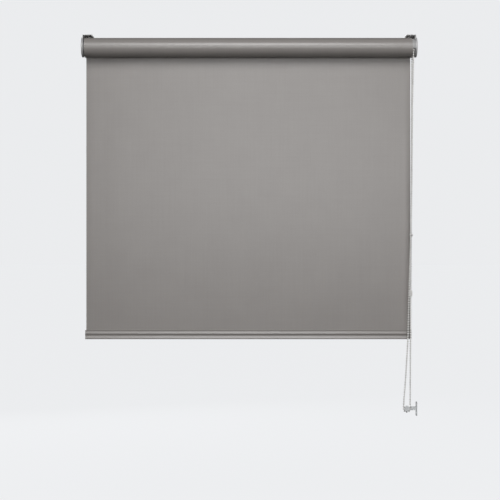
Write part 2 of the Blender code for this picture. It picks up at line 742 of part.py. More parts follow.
def rail_outside(mouth):
    """Outside of the rail in (y, z) about the middle of its top: ridge, hollow face and lip."""
    half = RAIL_DEPTH / 2
    front = [(-mouth, 0.0)]
    front += [(-half + inset, -drop) for inset, drop in RAIL_RIDGE]
    front += [(-half + share * RAIL_WAIST, -drop) for share, drop in RAIL_HOLLOW_FACE]
    front += [(-half + inset, rise - RAIL_HEIGHT) for inset, rise in RAIL_LIP]
    return front + [(-y, z) for y, z in reversed(front)]


def rail_outline():
    """The rail's section: its outside, and the channel that its mouth opens into."""
    mouth = FABRIC_THICKNESS / 2 + GAP
    mouth_angle = math.asin(mouth / RAIL_CHANNEL_RADIUS)
    channel = arc(
        (0.0, -RAIL_CHANNEL_DROP),
        RAIL_CHANNEL_RADIUS,
        math.pi / 2 - mouth_angle,
        math.pi / 2 + mouth_angle - 2 * math.pi,
        16,
    )
    return rail_outside(mouth) + channel


def rail_hollow(clearance=0.0):
    """Half width, foot and top of the hollow below the channel, or of what fits into it."""
    half = RAIL_DEPTH / 2 - RAIL_WAIST - RAIL_WALL - clearance
    foot = -RAIL_HEIGHT + RAIL_WALL + clearance
    top = -RAIL_CHANNEL_DROP - RAIL_CHANNEL_RADIUS - RAIL_WALL - clearance
    return half, foot, top


def build_rail(parts, carrier):
    """Hem bar, the strip that holds the fabric in its channel, and the two end caps."""
    origin = Vector((0.0, FABRIC_MIDDLE, RAIL_TOP))
    rail_end = TUBE_END - GAP
    half, foot, top = rail_hollow()
    hollow = [(-half, top), (half, top), (half, foot), (-half, foot)]
    rail = extruded("bottom_rail", [rail_outline(), hollow], -rail_end, rail_end, origin)
    finish(rail, parts, RAIL_TAUPE, 0.5, 0.1, parent=carrier)

    centre = origin + Vector((0.0, 0.0, -RAIL_CHANNEL_DROP))
    reach = Vector((rail_end, 0.0, 0.0))
    strip = cylinder("rail_fabric_strip", RAIL_CHANNEL_RADIUS - GAP, centre - reach, centre + reach, 12)
    finish(strip, parts, WHITE, 0.6, parent=carrier)

    face = rail_outside(GAP)
    half, foot, top = rail_hollow(GAP)
    for side, name in ((-1.0, "rail_end_cap_left"), (1.0, "rail_end_cap_right")):
        near = side * (rail_end + GAP)
        far = side * (rail_end + GAP + CAP_THICKNESS)
        inside = side * (rail_end - CAP_SPIGOT_LENGTH)
        middle = (near + far) / 2
        cap = extruded(name, [face], min(near, far), max(near, far), origin)
        join(cap, box(
            name + "_spigot",
            (min(inside, middle), origin.y - half, origin.z + foot),
            (max(inside, middle), origin.y + half, origin.z + top),
        ))
        finish(cap, parts, RAIL_TAUPE, 0.5, parent=carrier)


def build_hanging_fabric(parts, hinge):
    """The flat drop of fabric from the back of the roll into the rail's channel."""
    strip_top = RAIL_TOP - RAIL_CHANNEL_DROP + RAIL_CHANNEL_RADIUS - GAP
    panel = box(
        "fabric_panel",
        (-TUBE_END, HUNG_FACE, strip_top + GAP),
        (TUBE_END, HUNG_FACE + FABRIC_THICKNESS, AXIS.z),
    )
    finish(panel, parts, TAUPE, 0.85, parent=hinge)


def smooth_through(points, spacing):
    """Points read every so often from a smooth curve through the given ones."""
    padded = [2 * points[0] - points[1]] + list(points) + [2 * points[-1] - points[-2]]
    result = []
    for before, start, end, after in zip(padded, padded[1:], padded[2:], padded[3:]):
        length = (end - start).length
        lead = (end - before) / (end - before).length * length
        trail = (after - start) / (after - start).length * length
        count = max(1, round(length / spacing))
        for step in range(count):
            t = step / count
            result.append(
                (2 * t ** 3 - 3 * t ** 2 + 1) * start
                + (t ** 3 - 2 * t ** 2 + t) * lead
                + (3 * t ** 2 - 2 * t ** 3) * end
                + (t ** 3 - t ** 2) * trail
            )
    result.append(points[-1])
    return result


def strand_ends():
    """Where the rear strand leaves the wheel and reaches the loop's end."""
    top = Vector((CHAIN_PLANE, PITCH_RADIUS, AXIS.z))
    foot = LOOP_CENTRE + Vector((LOOP_RADIUS, 0.0, 0.0))
    return top, foot


def chain_route():
    """The closed loop: over the wheel, down the rear, round the clip and up the front."""
    top, foot = strand_ends()
    over = [
        Vector((CHAIN_PLANE, y, AXIS.z + z))
        for y, z in arc((0.0, 0.0), PITCH_RADIUS, math.pi, 0.0, 12)
    ]
    down = [top.lerp(foot, step / 15) for step in range(1, 15)]
    under = [
        LOOP_CENTRE + Vector((x, 0.0, z))
        for x, z in arc((0.0, 0.0), LOOP_RADIUS, 0.0, -math.pi, 10)
    ]
    strand = [over[0]] + [Vector(point) for point in FRONT_STRAND] + [under[-1]]
    up = list(reversed(smooth_through(strand, ROUTE_STEP)))
    return over + down + under + up[1:-1]


def build_chain(parts):
    """The bead chain with the two pieces that travel on its rear strand."""
    chain = wire("bead_chain", chain_route(), BEAD_DIAMETER / 2, closed=True)
    finish(chain, parts, WHITE, 0.35)
    top, foot = strand_ends()
    upward = (top - foot).normalized()
    for name, height, profile in (
        ("chain_connector", CONNECTOR_HEIGHT, connector_profile()),
        ("stop_bead", STOP_BEAD_HEIGHT, stop_bead_profile()),
    ):
        centre = top + upward * ((height - top.z) / upward.z)
        finish(turned(name, profile, centre, steps=SMALL_STEPS, direction=upward), parts, WHITE, 0.3)


def connector_profile():
    half = CONNECTOR_LENGTH / 2
    chamfer = (CONNECTOR_RADIUS - CHAIN_BORE) / 2
    return [
        (half, CHAIN_BORE),
        (half, CONNECTOR_RADIUS - chamfer),
        (half - 2 * chamfer, CONNECTOR_RADIUS),
        (2 * chamfer - half, CONNECTOR_RADIUS),
        (-half, CONNECTOR_RADIUS - chamfer),
        (-half, CHAIN_BORE),
    ]


def stop_bead_profile():
    opening = math.acos(CHAIN_BORE / STOP_BEAD_RADIUS)
    return [
        (STOP_BEAD_RADIUS * math.sin(angle), STOP_BEAD_RADIUS * math.cos(angle))
        for angle in (opening - 2 * opening * step / 10 for step in range(11))
    ]


def build_safety_clip(parts):
    """The clip that holds the loop's end to the side of the recess."""
    centre = LOOP_CENTRE
    chain_half = BEAD_DIAMETER / 2
    peg_radius = LOOP_RADIUS - chain_half - GAP
    back_low = chain_half + 3 * GAP
    back_high = back_low + CLIP_ARM_THICKNESS
    half_height = CLIP_ARM_HEIGHT / 2
    half_width = CLIP_FOOT_WIDTH / 2
    foot_face = REVEAL - CLIP_FOOT_THICKNESS
    arm = box(
        "safety_clip",
        (centre.x, centre.y + back_low, centre.z - half_height),
        (foot_face + CLIP_FOOT_THICKNESS / 2, centre.y + back_high, centre.z + half_height),
    )
    foot = box(
        "clip_foot",
        (foot_face, centre.y - half_width, centre.z - CLIP_FOOT_HEIGHT / 2),
        (REVEAL, centre.y + half_width, centre.z + CLIP_FOOT_HEIGHT / 2),
    )
    nose = cylinder(
        "clip_nose",
        CLIP_LIP_RADIUS,
        centre + Vector((0.0, back_low, 0.0)),
        centre + Vector((0.0, back_high, 0.0)),
    )
    lip_high = -chain_half - GAP
    lip_low = lip_high - CLIP_LIP_THICKNESS
    peg = cylinder(
        "clip_peg",
        peg_radius,
        centre + Vector((0.0, lip_low + CLIP_LIP_THICKNESS / 2, 0.0)),
        centre + Vector((0.0, back_high - CLIP_ARM_THICKNESS / 2, 0.0)),
    )
    lip = cylinder(
        "clip_lip",
        CLIP_LIP_RADIUS,
        centre + Vector((0.0, lip_low, 0.0)),
        centre + Vector((0.0, lip_high, 0.0)),
    )
    for piece in (foot, nose, peg, lip):
        join(arm, piece)
    for index, rise in enumerate((-CLIP_HOLE_SPACING / 2, CLIP_HOLE_SPACING / 2)):
        beyond = Vector((2 * CLIP_FOOT_THICKNESS, 0.0, 0.0))
        middle = Vector((REVEAL, centre.y, centre.z + rise))
        cut(arm, cylinder(f"clip_hole_{index}", CLIP_HOLE_RADIUS, middle - beyond, middle + beyond))
    finish(arm, parts, CLEAR, 0.2)


def new_axis(name, location, parts):
    axis = bpy.data.objects.new(name, None)
    axis.empty_display_size = 0.02
    axis.location = location
    parts.objects.link(axis)
    return axis


def main():
    parts = new_collection(COLLECTION_NAME)
    roller = new_axis("roller_axis", AXIS, parts)
    wheel_axis = new_axis("chain_wheel_axis", AXIS, parts)
    pin_axis = new_axis("idle_pin_axis", AXIS, parts)
    hinge = new_axis("fabric_hang_line", (0.0, FABRIC_MIDDLE, AXIS.z), parts)
    carrier = new_axis("rail_carrier", (0.0, FABRIC_MIDDLE, RAIL_TOP), parts)
    pin_axis.parent = roller
    carrier.parent = hinge
    bpy.context.view_layer.update()
    pin_axis.matrix_parent_inverse = roller.matrix_world.inverted()
    carrier.matrix_parent_inverse = hinge.matrix_world.inverted()
    build_control_end(parts, roller, wheel_axis)
    build_idle_end(parts, roller, pin_axis)
    build_roller(parts, roller)
    build_hanging_fabric(parts, hinge)
    build_rail(parts, carrier)
    build_chain(parts)
    build_safety_clip(parts)


clear_scene()
CUTTERS = new_collection("cutters")
main()
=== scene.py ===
"""Looks of the chain-operated roller blind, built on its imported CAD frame.

Everything is in metres in the frame's own axes: +X right, +Y towards the window, +Z up, with the
origin on the head of the recess above the roller.
"""

import math

import bmesh
import bpy
import numpy as np
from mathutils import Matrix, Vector


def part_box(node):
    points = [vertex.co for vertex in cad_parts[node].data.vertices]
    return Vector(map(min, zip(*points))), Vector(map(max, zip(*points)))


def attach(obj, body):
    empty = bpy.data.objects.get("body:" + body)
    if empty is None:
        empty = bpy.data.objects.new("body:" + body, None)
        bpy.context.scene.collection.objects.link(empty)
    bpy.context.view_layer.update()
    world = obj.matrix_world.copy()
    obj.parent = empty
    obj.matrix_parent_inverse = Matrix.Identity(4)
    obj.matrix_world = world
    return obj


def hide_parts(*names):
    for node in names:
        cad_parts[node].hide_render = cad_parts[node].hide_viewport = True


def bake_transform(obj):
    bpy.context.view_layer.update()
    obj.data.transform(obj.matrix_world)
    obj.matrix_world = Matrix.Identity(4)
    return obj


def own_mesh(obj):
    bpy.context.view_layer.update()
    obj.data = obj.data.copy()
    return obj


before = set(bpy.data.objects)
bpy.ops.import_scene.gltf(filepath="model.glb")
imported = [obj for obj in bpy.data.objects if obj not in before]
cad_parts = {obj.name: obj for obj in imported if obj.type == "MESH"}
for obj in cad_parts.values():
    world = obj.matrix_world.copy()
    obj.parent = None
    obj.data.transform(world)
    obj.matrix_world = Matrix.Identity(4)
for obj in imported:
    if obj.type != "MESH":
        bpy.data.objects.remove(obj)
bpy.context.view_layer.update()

MM = 0.001

# Places and sizes read from the frame
ROLL_LOW, ROLL_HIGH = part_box("fabric_roll")
PANEL_LOW, PANEL_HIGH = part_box("fabric_panel")
WHEEL_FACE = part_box("chain_wheel")[1].x
AXIS = Vector((0.0, 0.0, (ROLL_LOW.z + ROLL_HIGH.z) / 2))
ROLL_RADIUS = (ROLL_HIGH.z - ROLL_LOW.z) / 2
FABRIC_WIDTH = PANEL_HIGH.x - PANEL_LOW.x
FABRIC_THICKNESS = PANEL_HIGH.y - PANEL_LOW.y
TUBE_RADIUS = 20.0 * MM

# Fabric
FABRIC_COLOUR = (0.300, 0.280, 0.267)
THREAD_PITCH = 0.55 * MM

# Wound fabric
TUBE_CLEARANCE = 0.35 * MM        # between the tube and the first wrap
WRAP_FILL = 0.86                  # share of a wrap's spacing that is cloth
WRAP_STEPS = 72                   # round one wrap of the spiral
LAST_WRAP_STEPS = 144
EDGE_STATION = 0.6 * MM           # from the fabric's edge to the next column of points
EDGE_BAND = 1.0 * MM              # points nearer the edge than this wander with it
EDGE_INSET = 0.35 * MM
EDGE_WANDER = 0.3 * MM
EDGE_PACE = 0.6                   # of the wander, for each radian of winding

# Hanging fabric
CLOTH_THICKNESS = 0.5 * MM
CLOTH_COLUMNS = 96
CLOTH_ROWS = 110
LEAD_ANGLE = math.radians(24.0)   # how far up the back of the roll the cloth starts
LEAD_STEPS = 8
LEAD_EDGE = 0.1 * MM              # the cloth's thickness where it starts
LEAD_GAP = 0.05 * MM
DROP_GAP = 0.04 * MM
MOUTH_CLEARANCE = 0.4 * MM        # above the CAD sheet's end, inside the rail
SETTLE_RATE = 9                   # the cloth is in its hanging plane after 1/9 of the drop
SWING_LIMIT = math.radians(2.1)   # hanging fabric towards the window, and a little over
FADE_BELOW_ROLL = 50.0 * MM
FADE_ABOVE_RAIL = 60.0 * MM
WAVE_HEIGHT = 0.2 * MM
WAVE_SCALE = 16.0
CUP_DEPTH = 0.4 * MM
CUP_WIDTH = 20 * MM

# Spring behind the idle pin
SPRING_LOW, SPRING_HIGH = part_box("idle_pin_spring")
SPRING_WIRE = 1.0 * MM
SPRING_TURNS = 7
SPRING_STEPS = 24                 # round one turn
SPRING_SIDES = 10                 # round the wire

# Bead chain, as in the CAD model
BEAD_DIAMETER = 4.5 * MM
BEAD_PITCH = 6.0 * MM
LINK_DIAMETER = 1.3 * MM
POCKETS = 16
WHEEL_WIDTH = 6.4 * MM
CHAIN_PLANE = WHEEL_FACE - WHEEL_WIDTH / 2
PITCH_RADIUS = POCKETS * BEAD_PITCH / (2 * math.pi)
LOOP_CENTRE = Vector((393.0 * MM, 0.0, -925.0 * MM))
LOOP_RADIUS = 8.0 * MM
FRONT_STRAND = (
    (0.4066, -0.0146, -0.090),
    (0.4049, -0.0131, -0.170),
    (0.4034, -0.0090, -0.400),
    (0.4006, -0.0066, -0.540),
    (0.3974, -0.0046, -0.655),
    (0.3955, -0.0032, -0.740),
    (0.3934, -0.0024, -0.785),
    (0.3890, -0.0011, -0.860),
    (0.3858, -0.0003, -0.900),
)
STRAND_SPACING = 20.0 * MM
REAR_STEPS = 40
WHEEL_ARC_STEPS = 12
LOOP_ARC_STEPS = 20
BEAD_ROWS = 9
BEAD_STEPS = 14
LINK_REACH = 0.9                  # a link starts at this share of the bead's radius
ASKEW = Vector((0.3, 1.0, 0.2))   # a direction the chain never runs in

# Camera and stage
CAMERA_DISTANCE = 2.96
CAMERA_PLACE = Vector((4.3 * MM, -CAMERA_DISTANCE, -532.0 * MM))
CAMERA_LENS = 86.0
SENSOR_WIDTH = 36.0
FLOOR_HEIGHT = -1.32
FLOOR_REACH = 60.0
BACKDROP = (0.83, 0.84, 0.855)
AMBIENT = 0.065
AMBIENT_COLOUR = (0.86, 0.88, 0.90)
FLOOR_COLOUR = (0.035, 0.035, 0.036)
LIGHT_TARGET = Vector((0.0, 0.0, -0.3))
SOFT_LIGHTS = (
    # name, distance, elevation, swing to the right, width, height, power
    ("key", 4.2, 33.0, 0.0, 1.7, 1.9, 94.0),
    ("fill", 3.0, 3.0, 3.0, 2.0, 0.9, 23.0),
    ("right", 3.0, 8.0, 76.0, 1.2, 1.2, 11.0),
    ("left", 3.0, 8.0, -76.0, 1.2, 1.2, 7.0),
    ("back", 3.0, 6.0, 198.0, 2.4, 1.6, 48.0),
)


# ---------------------------------------------------------------- helpers

def mesh_object(name, vertices, faces):
    """A smooth-shaded mesh, sharp where its faces meet at more than 40 degrees."""
    mesh = bpy.data.meshes.new(name)
    mesh.from_pydata(vertices, [], faces)
    mesh.update()
    mesh.shade_smooth()
    mesh.set_sharp_from_angle(angle=math.radians(40.0))
    obj = bpy.data.objects.new(name, mesh)
    bpy.context.scene.collection.objects.link(obj)
    return obj


def face_outwards(obj):
    shape = bmesh.new()
    shape.from_mesh(obj.data)
    bmesh.ops.recalc_face_normals(shape, faces=shape.faces)
    shape.to_mesh(obj.data)
    shape.free()


def arc(radius, start, end, steps):
    """Points on a circle about the origin, as pairs."""
    angles = [start + (end - start) * step / steps for step in range(steps + 1)]
    return [(radius * math.cos(a), radius * math.sin(a)) for a in angles]


def dress(names, material):
    """Give CAD nodes a material in every one of their slots."""
    for name in names:
        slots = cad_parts[name].data.materials
        slots.clear()
        slots.append(material)


# ---------------------------------------------------------------- materials

class Shader:
    """A material under construction: short calls that add and link nodes."""

    def __init__(self, name, colour, roughness, **sockets):
        self.material = bpy.data.materials.new(name)
        self.material.use_nodes = True
        self.tree = self.material.node_tree
        self.surface = self.tree.nodes["Principled BSDF"]
        self.surface.inputs["Base Color"].default_value = (*colour, 1.0)
        self.surface.inputs["Roughness"].default_value = roughness
        for socket, value in sockets.items():
            self.surface.inputs[socket.replace("_", " ")].default_value = value

    def add(self, kind, **settings):
        node = self.tree.nodes.new(kind)
        for key, value in settings.items():
            if key in node.inputs:
                node.inputs[key].default_value = value
            else:
                setattr(node, key, value)
        return node

    def link(self, source, target):
        self.tree.links.new(source, target)

    def place(self, scale=(1.0, 1.0, 1.0), source="Object"):
        coordinates = self.add("ShaderNodeTexCoord")
        mapping = self.add("ShaderNodeMapping")
        mapping.inputs["Scale"].default_value = scale
        self.link(coordinates.outputs[source], mapping.inputs["Vector"])
        return mapping.outputs["Vector"]

    def noise(self, vector, scale, detail=3.0, roughness=0.55):
        node = self.add("ShaderNodeTexNoise")
        node.inputs["Scale"].default_value = scale
        node.inputs["Detail"].default_value = detail
        node.inputs["Roughness"].default_value = roughness
        self.link(vector, node.inputs["Vector"])
        return node.outputs["Fac"]

    def window(self, value, from_low, from_high, low, high):
        """Stretch one range of a value over another."""
        node = self.add("ShaderNodeMapRange")
        node.inputs["From Min"].default_value = from_low
        node.inputs["From Max"].default_value = from_high
        node.inputs["To Min"].default_value = low
        node.inputs["To Max"].default_value = high
        self.link(value, node.inputs["Value"])
        return node.outputs["Result"]

    def spread(self, value, low, high):
        """Stretch a 0-1 value over low to high."""
        return self.window(value, 0.0, 1.0, low, high)

    def vary(self, value, from_low, from_high, amount):
        """Stretch the middle of a noise over -amount to amount."""
        return self.window(value, from_low, from_high, -amount, amount)

    def maths(self, operation, first, second):
        node = self.add("ShaderNodeMath")
        node.operation = operation
        for socket, value in zip(node.inputs, (first, second)):
            if isinstance(value, (int, float)):
                socket.default_value = value
            else:
                self.link(value, socket)
        return node.outputs["Value"]

    def tint(self, colour, value):
        """A colour times a grey value."""
        node = self.add("ShaderNodeVectorMath", operation="SCALE")
        node.inputs[0].default_value = colour
        self.link(value, node.inputs["Scale"])
        return node.outputs["Vector"]

    def bump(self, height, strength, distance):
        node = self.add("ShaderNodeBump")
        node.inputs["Strength"].default_value = strength
        node.inputs["Distance"].default_value = distance
        self.link(height, node.inputs["Height"])
        previous = self.surface.inputs["Normal"]
        if previous.is_linked:
            self.link(previous.links[0].from_socket, node.inputs["Normal"])
        self.link(node.outputs["Normal"], previous)

    def colour(self, value):
        self.link(value, self.surface.inputs["Base Color"])

    def roughness(self, value):
        self.link(value, self.surface.inputs["Roughness"])


def weave_fabric(name, source):
    """Coated plain weave: threads both ways, slubs along both, faint broad mottling, fine grain.

    X runs across the blind. The length of the fabric runs along Z in the object's own
    coordinates, and along Y in the UV map.
    """
    shader = Shader(
        name,
        FABRIC_COLOUR,
        0.31,
        Sheen_Weight=0.04,
        Sheen_Roughness=0.4,
        Specular_IOR_Level=0.62,
    )
    flat = shader.place(source=source)
    split = shader.add("ShaderNodeSeparateXYZ")
    shader.link(flat, split.inputs["Vector"])
    along = split.outputs["Z"] if source == "Object" else split.outputs["Y"]
    turn = 2 * math.pi / THREAD_PITCH
    warp = shader.maths("SINE", shader.maths("MULTIPLY", split.outputs["X"], turn), 0.0)
    weft = shader.maths("SINE", shader.maths("MULTIPLY", along, turn), 0.0)
    weave = shader.maths("MULTIPLY", warp, weft)
    slub_scale = (260.0, 260.0, 6.0) if source == "Object" else (260.0, 6.0, 260.0)
    slubs = shader.noise(shader.place(slub_scale, source), 1.0, 2.0)
    cross_scale = (6.0, 6.0, 260.0) if source == "Object" else (6.0, 260.0, 6.0)
    cross = shader.noise(shader.place(cross_scale, source), 1.0, 2.0)
    mottle = shader.noise(flat, 16.0, 3.0)
    grain = shader.noise(flat, 420.0, 2.0)
    tone = shader.spread(weave, 0.98, 1.02)
    for layer in (
        shader.vary(slubs, 0.25, 0.75, 0.018),
        shader.vary(cross, 0.25, 0.75, 0.014),
        shader.vary(grain, 0.25, 0.75, 0.02),
        shader.vary(mottle, 0.3, 0.7, 0.02),
    ):
        tone = shader.maths("ADD", tone, layer)
    shader.colour(shader.tint(FABRIC_COLOUR, tone))
    shader.roughness(shader.window(slubs, 0.25, 0.75, 0.30, 0.325))
    shader.bump(weave, 0.3, 0.04 * MM)
    shader.bump(slubs, 0.04, 0.03 * MM)
    return shader.material


def satin_metal(name, colour, roughness, metallic):
    """Satin-finished metal or metal-look plastic with a fine even grain and faint handling marks."""
    shader = Shader(name, colour, roughness, Metallic=metallic)
    flat = shader.place()
    grain = shader.noise(flat, 2600.0, 2.0)
    marks = shader.noise(flat, 55.0, 5.0, 0.6)
    tone = shader.maths("ADD", shader.spread(grain, 0.97, 1.03), shader.vary(marks, 0.35, 0.65, 0.03))
    shader.colour(shader.tint(colour, tone))
    shader.roughness(shader.window(marks, 0.35, 0.65, roughness - 0.05, roughness + 0.07))
    shader.bump(grain, 0.12, 0.03 * MM)
    return shader.material


def moulded_plastic(name, colour, roughness, coat=0.0):
    """Moulded plastic with a fine spark-eroded texture and slight unevenness of tone."""
    shader = Shader(name, colour, roughness, Coat_Weight=coat)
    flat = shader.place()
    pits = shader.noise(flat, 1500.0, 3.0)
    cloud = shader.noise(flat, 70.0, 2.0)
    tone = shader.maths("ADD", shader.spread(pits, 0.975, 1.025), shader.vary(cloud, 0.35, 0.65, 0.02))
    shader.colour(shader.tint(colour, tone))
    shader.roughness(shader.window(cloud, 0.35, 0.65, roughness - 0.04, roughness + 0.05))
    shader.bump(pits, 0.1, 0.04 * MM)
    return shader.material


def powder_coat(name, colour, roughness):
    """Powder-coated extrusion: a fine orange peel and faint draw lines along its length."""
    shader = Shader(name, colour, roughness, Coat_Weight=0.12, Coat_Roughness=0.35)
    flat = shader.place()
    peel = shader.noise(flat, 900.0, 2.0)
    draw = shader.noise(shader.place((3.0, 700.0, 700.0)), 1.0, 2.0)
    tone = shader.maths("ADD", shader.spread(peel, 0.97, 1.03), shader.vary(draw, 0.35, 0.65, 0.03))
    shader.colour(shader.tint(colour, tone))
    shader.roughness(shader.window(draw, 0.35, 0.65, roughness - 0.04, roughness + 0.06))
    shader.bump(peel, 0.2, 0.05 * MM)
    return shader.material


def milky_plastic(name, colour, roughness):
    """Pale moulded plastic that lets a little light through, with faint flow lines."""
    shader = Shader(name, colour, roughness, IOR=1.4, Transmission_Weight=0.25)
    flow = shader.noise(shader.place((90.0, 90.0, 300.0)), 1.0, 2.0)
    shader.colour(shader.tint(colour, shader.spread(flow, 0.96, 1.0)))
    shader.roughness(shader.window(flow, 0.35, 0.65, 0.18, 0.28))
    shader.bump(flow, 0.1, 0.05 * MM)
    return shader.material


# ---------------------------------------------------------------- camera, lights, stage

def build_camera():
    data = bpy.data.cameras.new("camera")
    data.lens = CAMERA_LENS
    data.sensor_width = SENSOR_WIDTH
    camera = bpy.data.objects.new("camera", data)
    camera.location = CAMERA_PLACE
    camera.rotation_euler = (math.pi / 2, 0.0, 0.0)
    bpy.context.scene.collection.objects.link(camera)
    bpy.context.scene.camera = camera


def area_light(name, place, size, power):
    """A soft light that faces the middle of the blind and isn't seen itself."""
    data = bpy.data.lights.new(name, "AREA")
    data.shape = "RECTANGLE"
    data.size, data.size_y = size
    data.energy = power
    light = bpy.data.objects.new(name, data)
    light.location = place
    light.rotation_euler = (LIGHT_TARGET - place).to_track_quat("-Z", "Y").to_euler()
    light.visible_camera = False
    bpy.context.scene.collection.objects.link(light)


def build_world():
    """A dim ambient light that the camera sees as the bright backdrop."""
    world = bpy.data.worlds.new("world")
    bpy.context.scene.world = world
    world.use_nodes = True
    nodes = world.node_tree.nodes
    link = world.node_tree.links.new
    background = nodes["Background"]
    background.inputs["Color"].default_value = (*AMBIENT_COLOUR, 1.0)
    background.inputs["Strength"].default_value = AMBIENT
    bright = nodes.new("ShaderNodeBackground")
    bright.inputs["Color"].default_value = (*BACKDROP, 1.0)
    bright.inputs["Strength"].default_value = 1.0
    path = nodes.new("ShaderNodeLightPath")
    mix = nodes.new("ShaderNodeMixShader")
    either = nodes.new("ShaderNodeMath")
    either.operation = "MAXIMUM"
    link(path.outputs["Is Camera Ray"], either.inputs[0])
    link(path.outputs["Is Transmission Ray"], either.inputs[1])
    link(either.outputs[0], mix.inputs["Fac"])
    link(background.outputs[0], mix.inputs[1])
    link(bright.outputs[0], mix.inputs[2])
    link(mix.outputs[0], nodes["World Output"].inputs["Surface"])


def build_floor():
    """A dark floor that glows to the camera alone, so it runs into the backdrop."""
    signs = ((-1, -1), (1, -1), (1, 1), (-1, 1))
    corners = [(x * FLOOR_REACH, y * FLOOR_REACH, FLOOR_HEIGHT) for x, y in signs]
    floor = mesh_object("floor", corners, [(0, 1, 2, 3)])
    paint = Shader("floor_paint", FLOOR_COLOUR, 0.95, Specular_IOR_Level=0.0)
    glow = paint.add("ShaderNodeEmission")
    glow.inputs["Color"].default_value = (*BACKDROP, 1.0)
    seen = paint.add("ShaderNodeLightPath")
    blend = paint.add("ShaderNodeMixShader")
    paint.link(seen.outputs["Is Camera Ray"], blend.inputs["Fac"])
    paint.link(paint.surface.outputs["BSDF"], blend.inputs[1])
    both = paint.add("ShaderNodeAddShader")
    paint.link(paint.surface.outputs["BSDF"], both.inputs[0])
    paint.link(glow.outputs["Emission"], both.inputs[1])
    paint.link(both.outputs["Shader"], blend.inputs[2])
    paint.link(blend.outputs["Shader"], paint.tree.nodes["Material Output"].inputs["Surface"])
    floor.data.materials.append(paint.material)


def build_lights():
    for name, distance, elevation, swing, width, height, power in SOFT_LIGHTS:
        rise = math.radians(elevation)
        turn = math.radians(swing)
        across = math.sin(turn) * math.cos(rise)
        forward = -math.cos(turn) * math.cos(rise)
        towards = Vector((across, forward, math.sin(rise)))
        area_light(name, LIGHT_TARGET + distance * towards, (width, height), power)


# ---------------------------------------------------------------- bead chain

def smooth_through(points, spacing):
    """Points read every so often from a smooth curve through the given ones."""
    padded = [2 * points[0] - points[1]] + list(points) + [2 * points[-1] - points[-2]]
    result = []
    for before, start, end, after in zip(padded, padded[1:], padded[2:], padded[3:]):
        length = (end - start).length
        lead = (end - before) / (end - before).length * length
        trail = (after - start) / (after - start).length * length
        count = max(1, round(length / spacing))
        for step in range(count):
            t = step / count
            result.append(
                (2 * t ** 3 - 3 * t ** 2 + 1) * start
                + (t ** 3 - 2 * t ** 2 + t) * lead
                + (3 * t ** 2 - 2 * t ** 3) * end
                + (t ** 3 - t ** 2) * trail
            )
    result.append(points[-1])
    return result


def chain_route():
    """The closed loop, from the top of the wheel down the rear and back up the front."""
    top = Vector((CHAIN_PLANE, PITCH_RADIUS, AXIS.z))
    foot = LOOP_CENTRE + Vector((LOOP_RADIUS, 0.0, 0.0))
    rear_arc = arc(PITCH_RADIUS, math.pi / 2, 0.0, WHEEL_ARC_STEPS)
    front_arc = arc(PITCH_RADIUS, math.pi, math.pi / 2, WHEEL_ARC_STEPS)
    low_arc = arc(LOOP_RADIUS, 0.0, -math.pi, LOOP_ARC_STEPS)
    rear_over = [Vector((CHAIN_PLANE, y, AXIS.z + z)) for y, z in rear_arc]
    front_over = [Vector((CHAIN_PLANE, y, AXIS.z + z)) for y, z in front_arc]
    down = [top.lerp(foot, step / REAR_STEPS) for step in range(1, REAR_STEPS)]
    under = [LOOP_CENTRE + Vector((x, 0.0, z)) for x, z in low_arc]
    strand = [front_over[0]] + [Vector(point) for point in FRONT_STRAND] + [under[-1]]
    up = list(reversed(smooth_through(strand, STRAND_SPACING)))
    return rear_over + down + under + up[1:-1] + front_over


def running_lengths(route):
    """The distance along the route to each of its points."""
    lengths = [0.0]
    for start, end in zip(route, route[1:]):
        lengths.append(lengths[-1] + (end - start).length)
    return lengths


def even_points(route, lengths, count):
    """Points at equal steps along the closed route, half a step from its start."""
    at = (np.arange(count) + 0.5) * lengths[-1] / count
    columns = [np.interp(at, lengths, column) for column in zip(*route)]
    return [Vector(point) for point in zip(*columns)]


def build_chain():
    """Moulded beads on their cord, one at each pitch, with a link between each two."""
    route = chain_route()
    lengths = running_lengths(route)
    total = lengths[-1]
    count = round(total / BEAD_PITCH)
    centres = even_points(route, lengths, count)
    radius = BEAD_DIAMETER / 2
    profile = []
    for row in range(BEAD_ROWS + 1):
        angle = math.pi * row / BEAD_ROWS
        profile.append((radius * math.sin(angle), radius * math.cos(angle)))
    around = BEAD_STEPS
    vertices = []
    faces = []

    def ring(centre, across, up, distance):
        start = len(vertices)
        for step in range(around):
            angle = 2 * math.pi * step / around
            vertices.append(centre + (across * math.cos(angle) + up * math.sin(angle)) * distance)
        return start

    def sleeve(first, second):
        for step in range(around):
            after = (step + 1) % around
            faces.append((first + step, first + after, second + after, second + step))

    for index, centre in enumerate(centres):
        following = centres[(index + 1) % count]
        before = centres[index - 1]
        along = (following - before).normalized()
        across = along.cross(ASKEW).normalized()
        up = along.cross(across)
        rings = [
            ring(centre + along * height, across, up, max(distance, LINK_DIAMETER / 4))
            for distance, height in profile
        ]
        for first, second in zip(rings, rings[1:]):
            sleeve(second, first)
        for end, flip in ((rings[0], False), (rings[-1], True)):
            cap = [end + step for step in range(around)]
            faces.append(tuple(cap if not flip else reversed(cap)))
        link_start = ring(centre + along * radius * LINK_REACH, across, up, LINK_DIAMETER / 2)
        link_end = ring(following - along * radius * LINK_REACH, across, up, LINK_DIAMETER / 2)
        sleeve(link_start, link_end)
        faces.append(tuple(reversed(range(link_start, link_start + around))))
        faces.append(tuple(range(link_end, link_end + around)))
    chain = mesh_object("bead_chain_beads", vertices, faces)
    face_outwards(chain)
    chain.data.shade_smooth()
    chain.data.materials.append(moulded_plastic("chain_plastic", (0.80, 0.79, 0.77), 0.28, coat=0.3))
    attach(chain, "brackets")
    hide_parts("bead_chain")


# ---------------------------------------------------------------- fabric

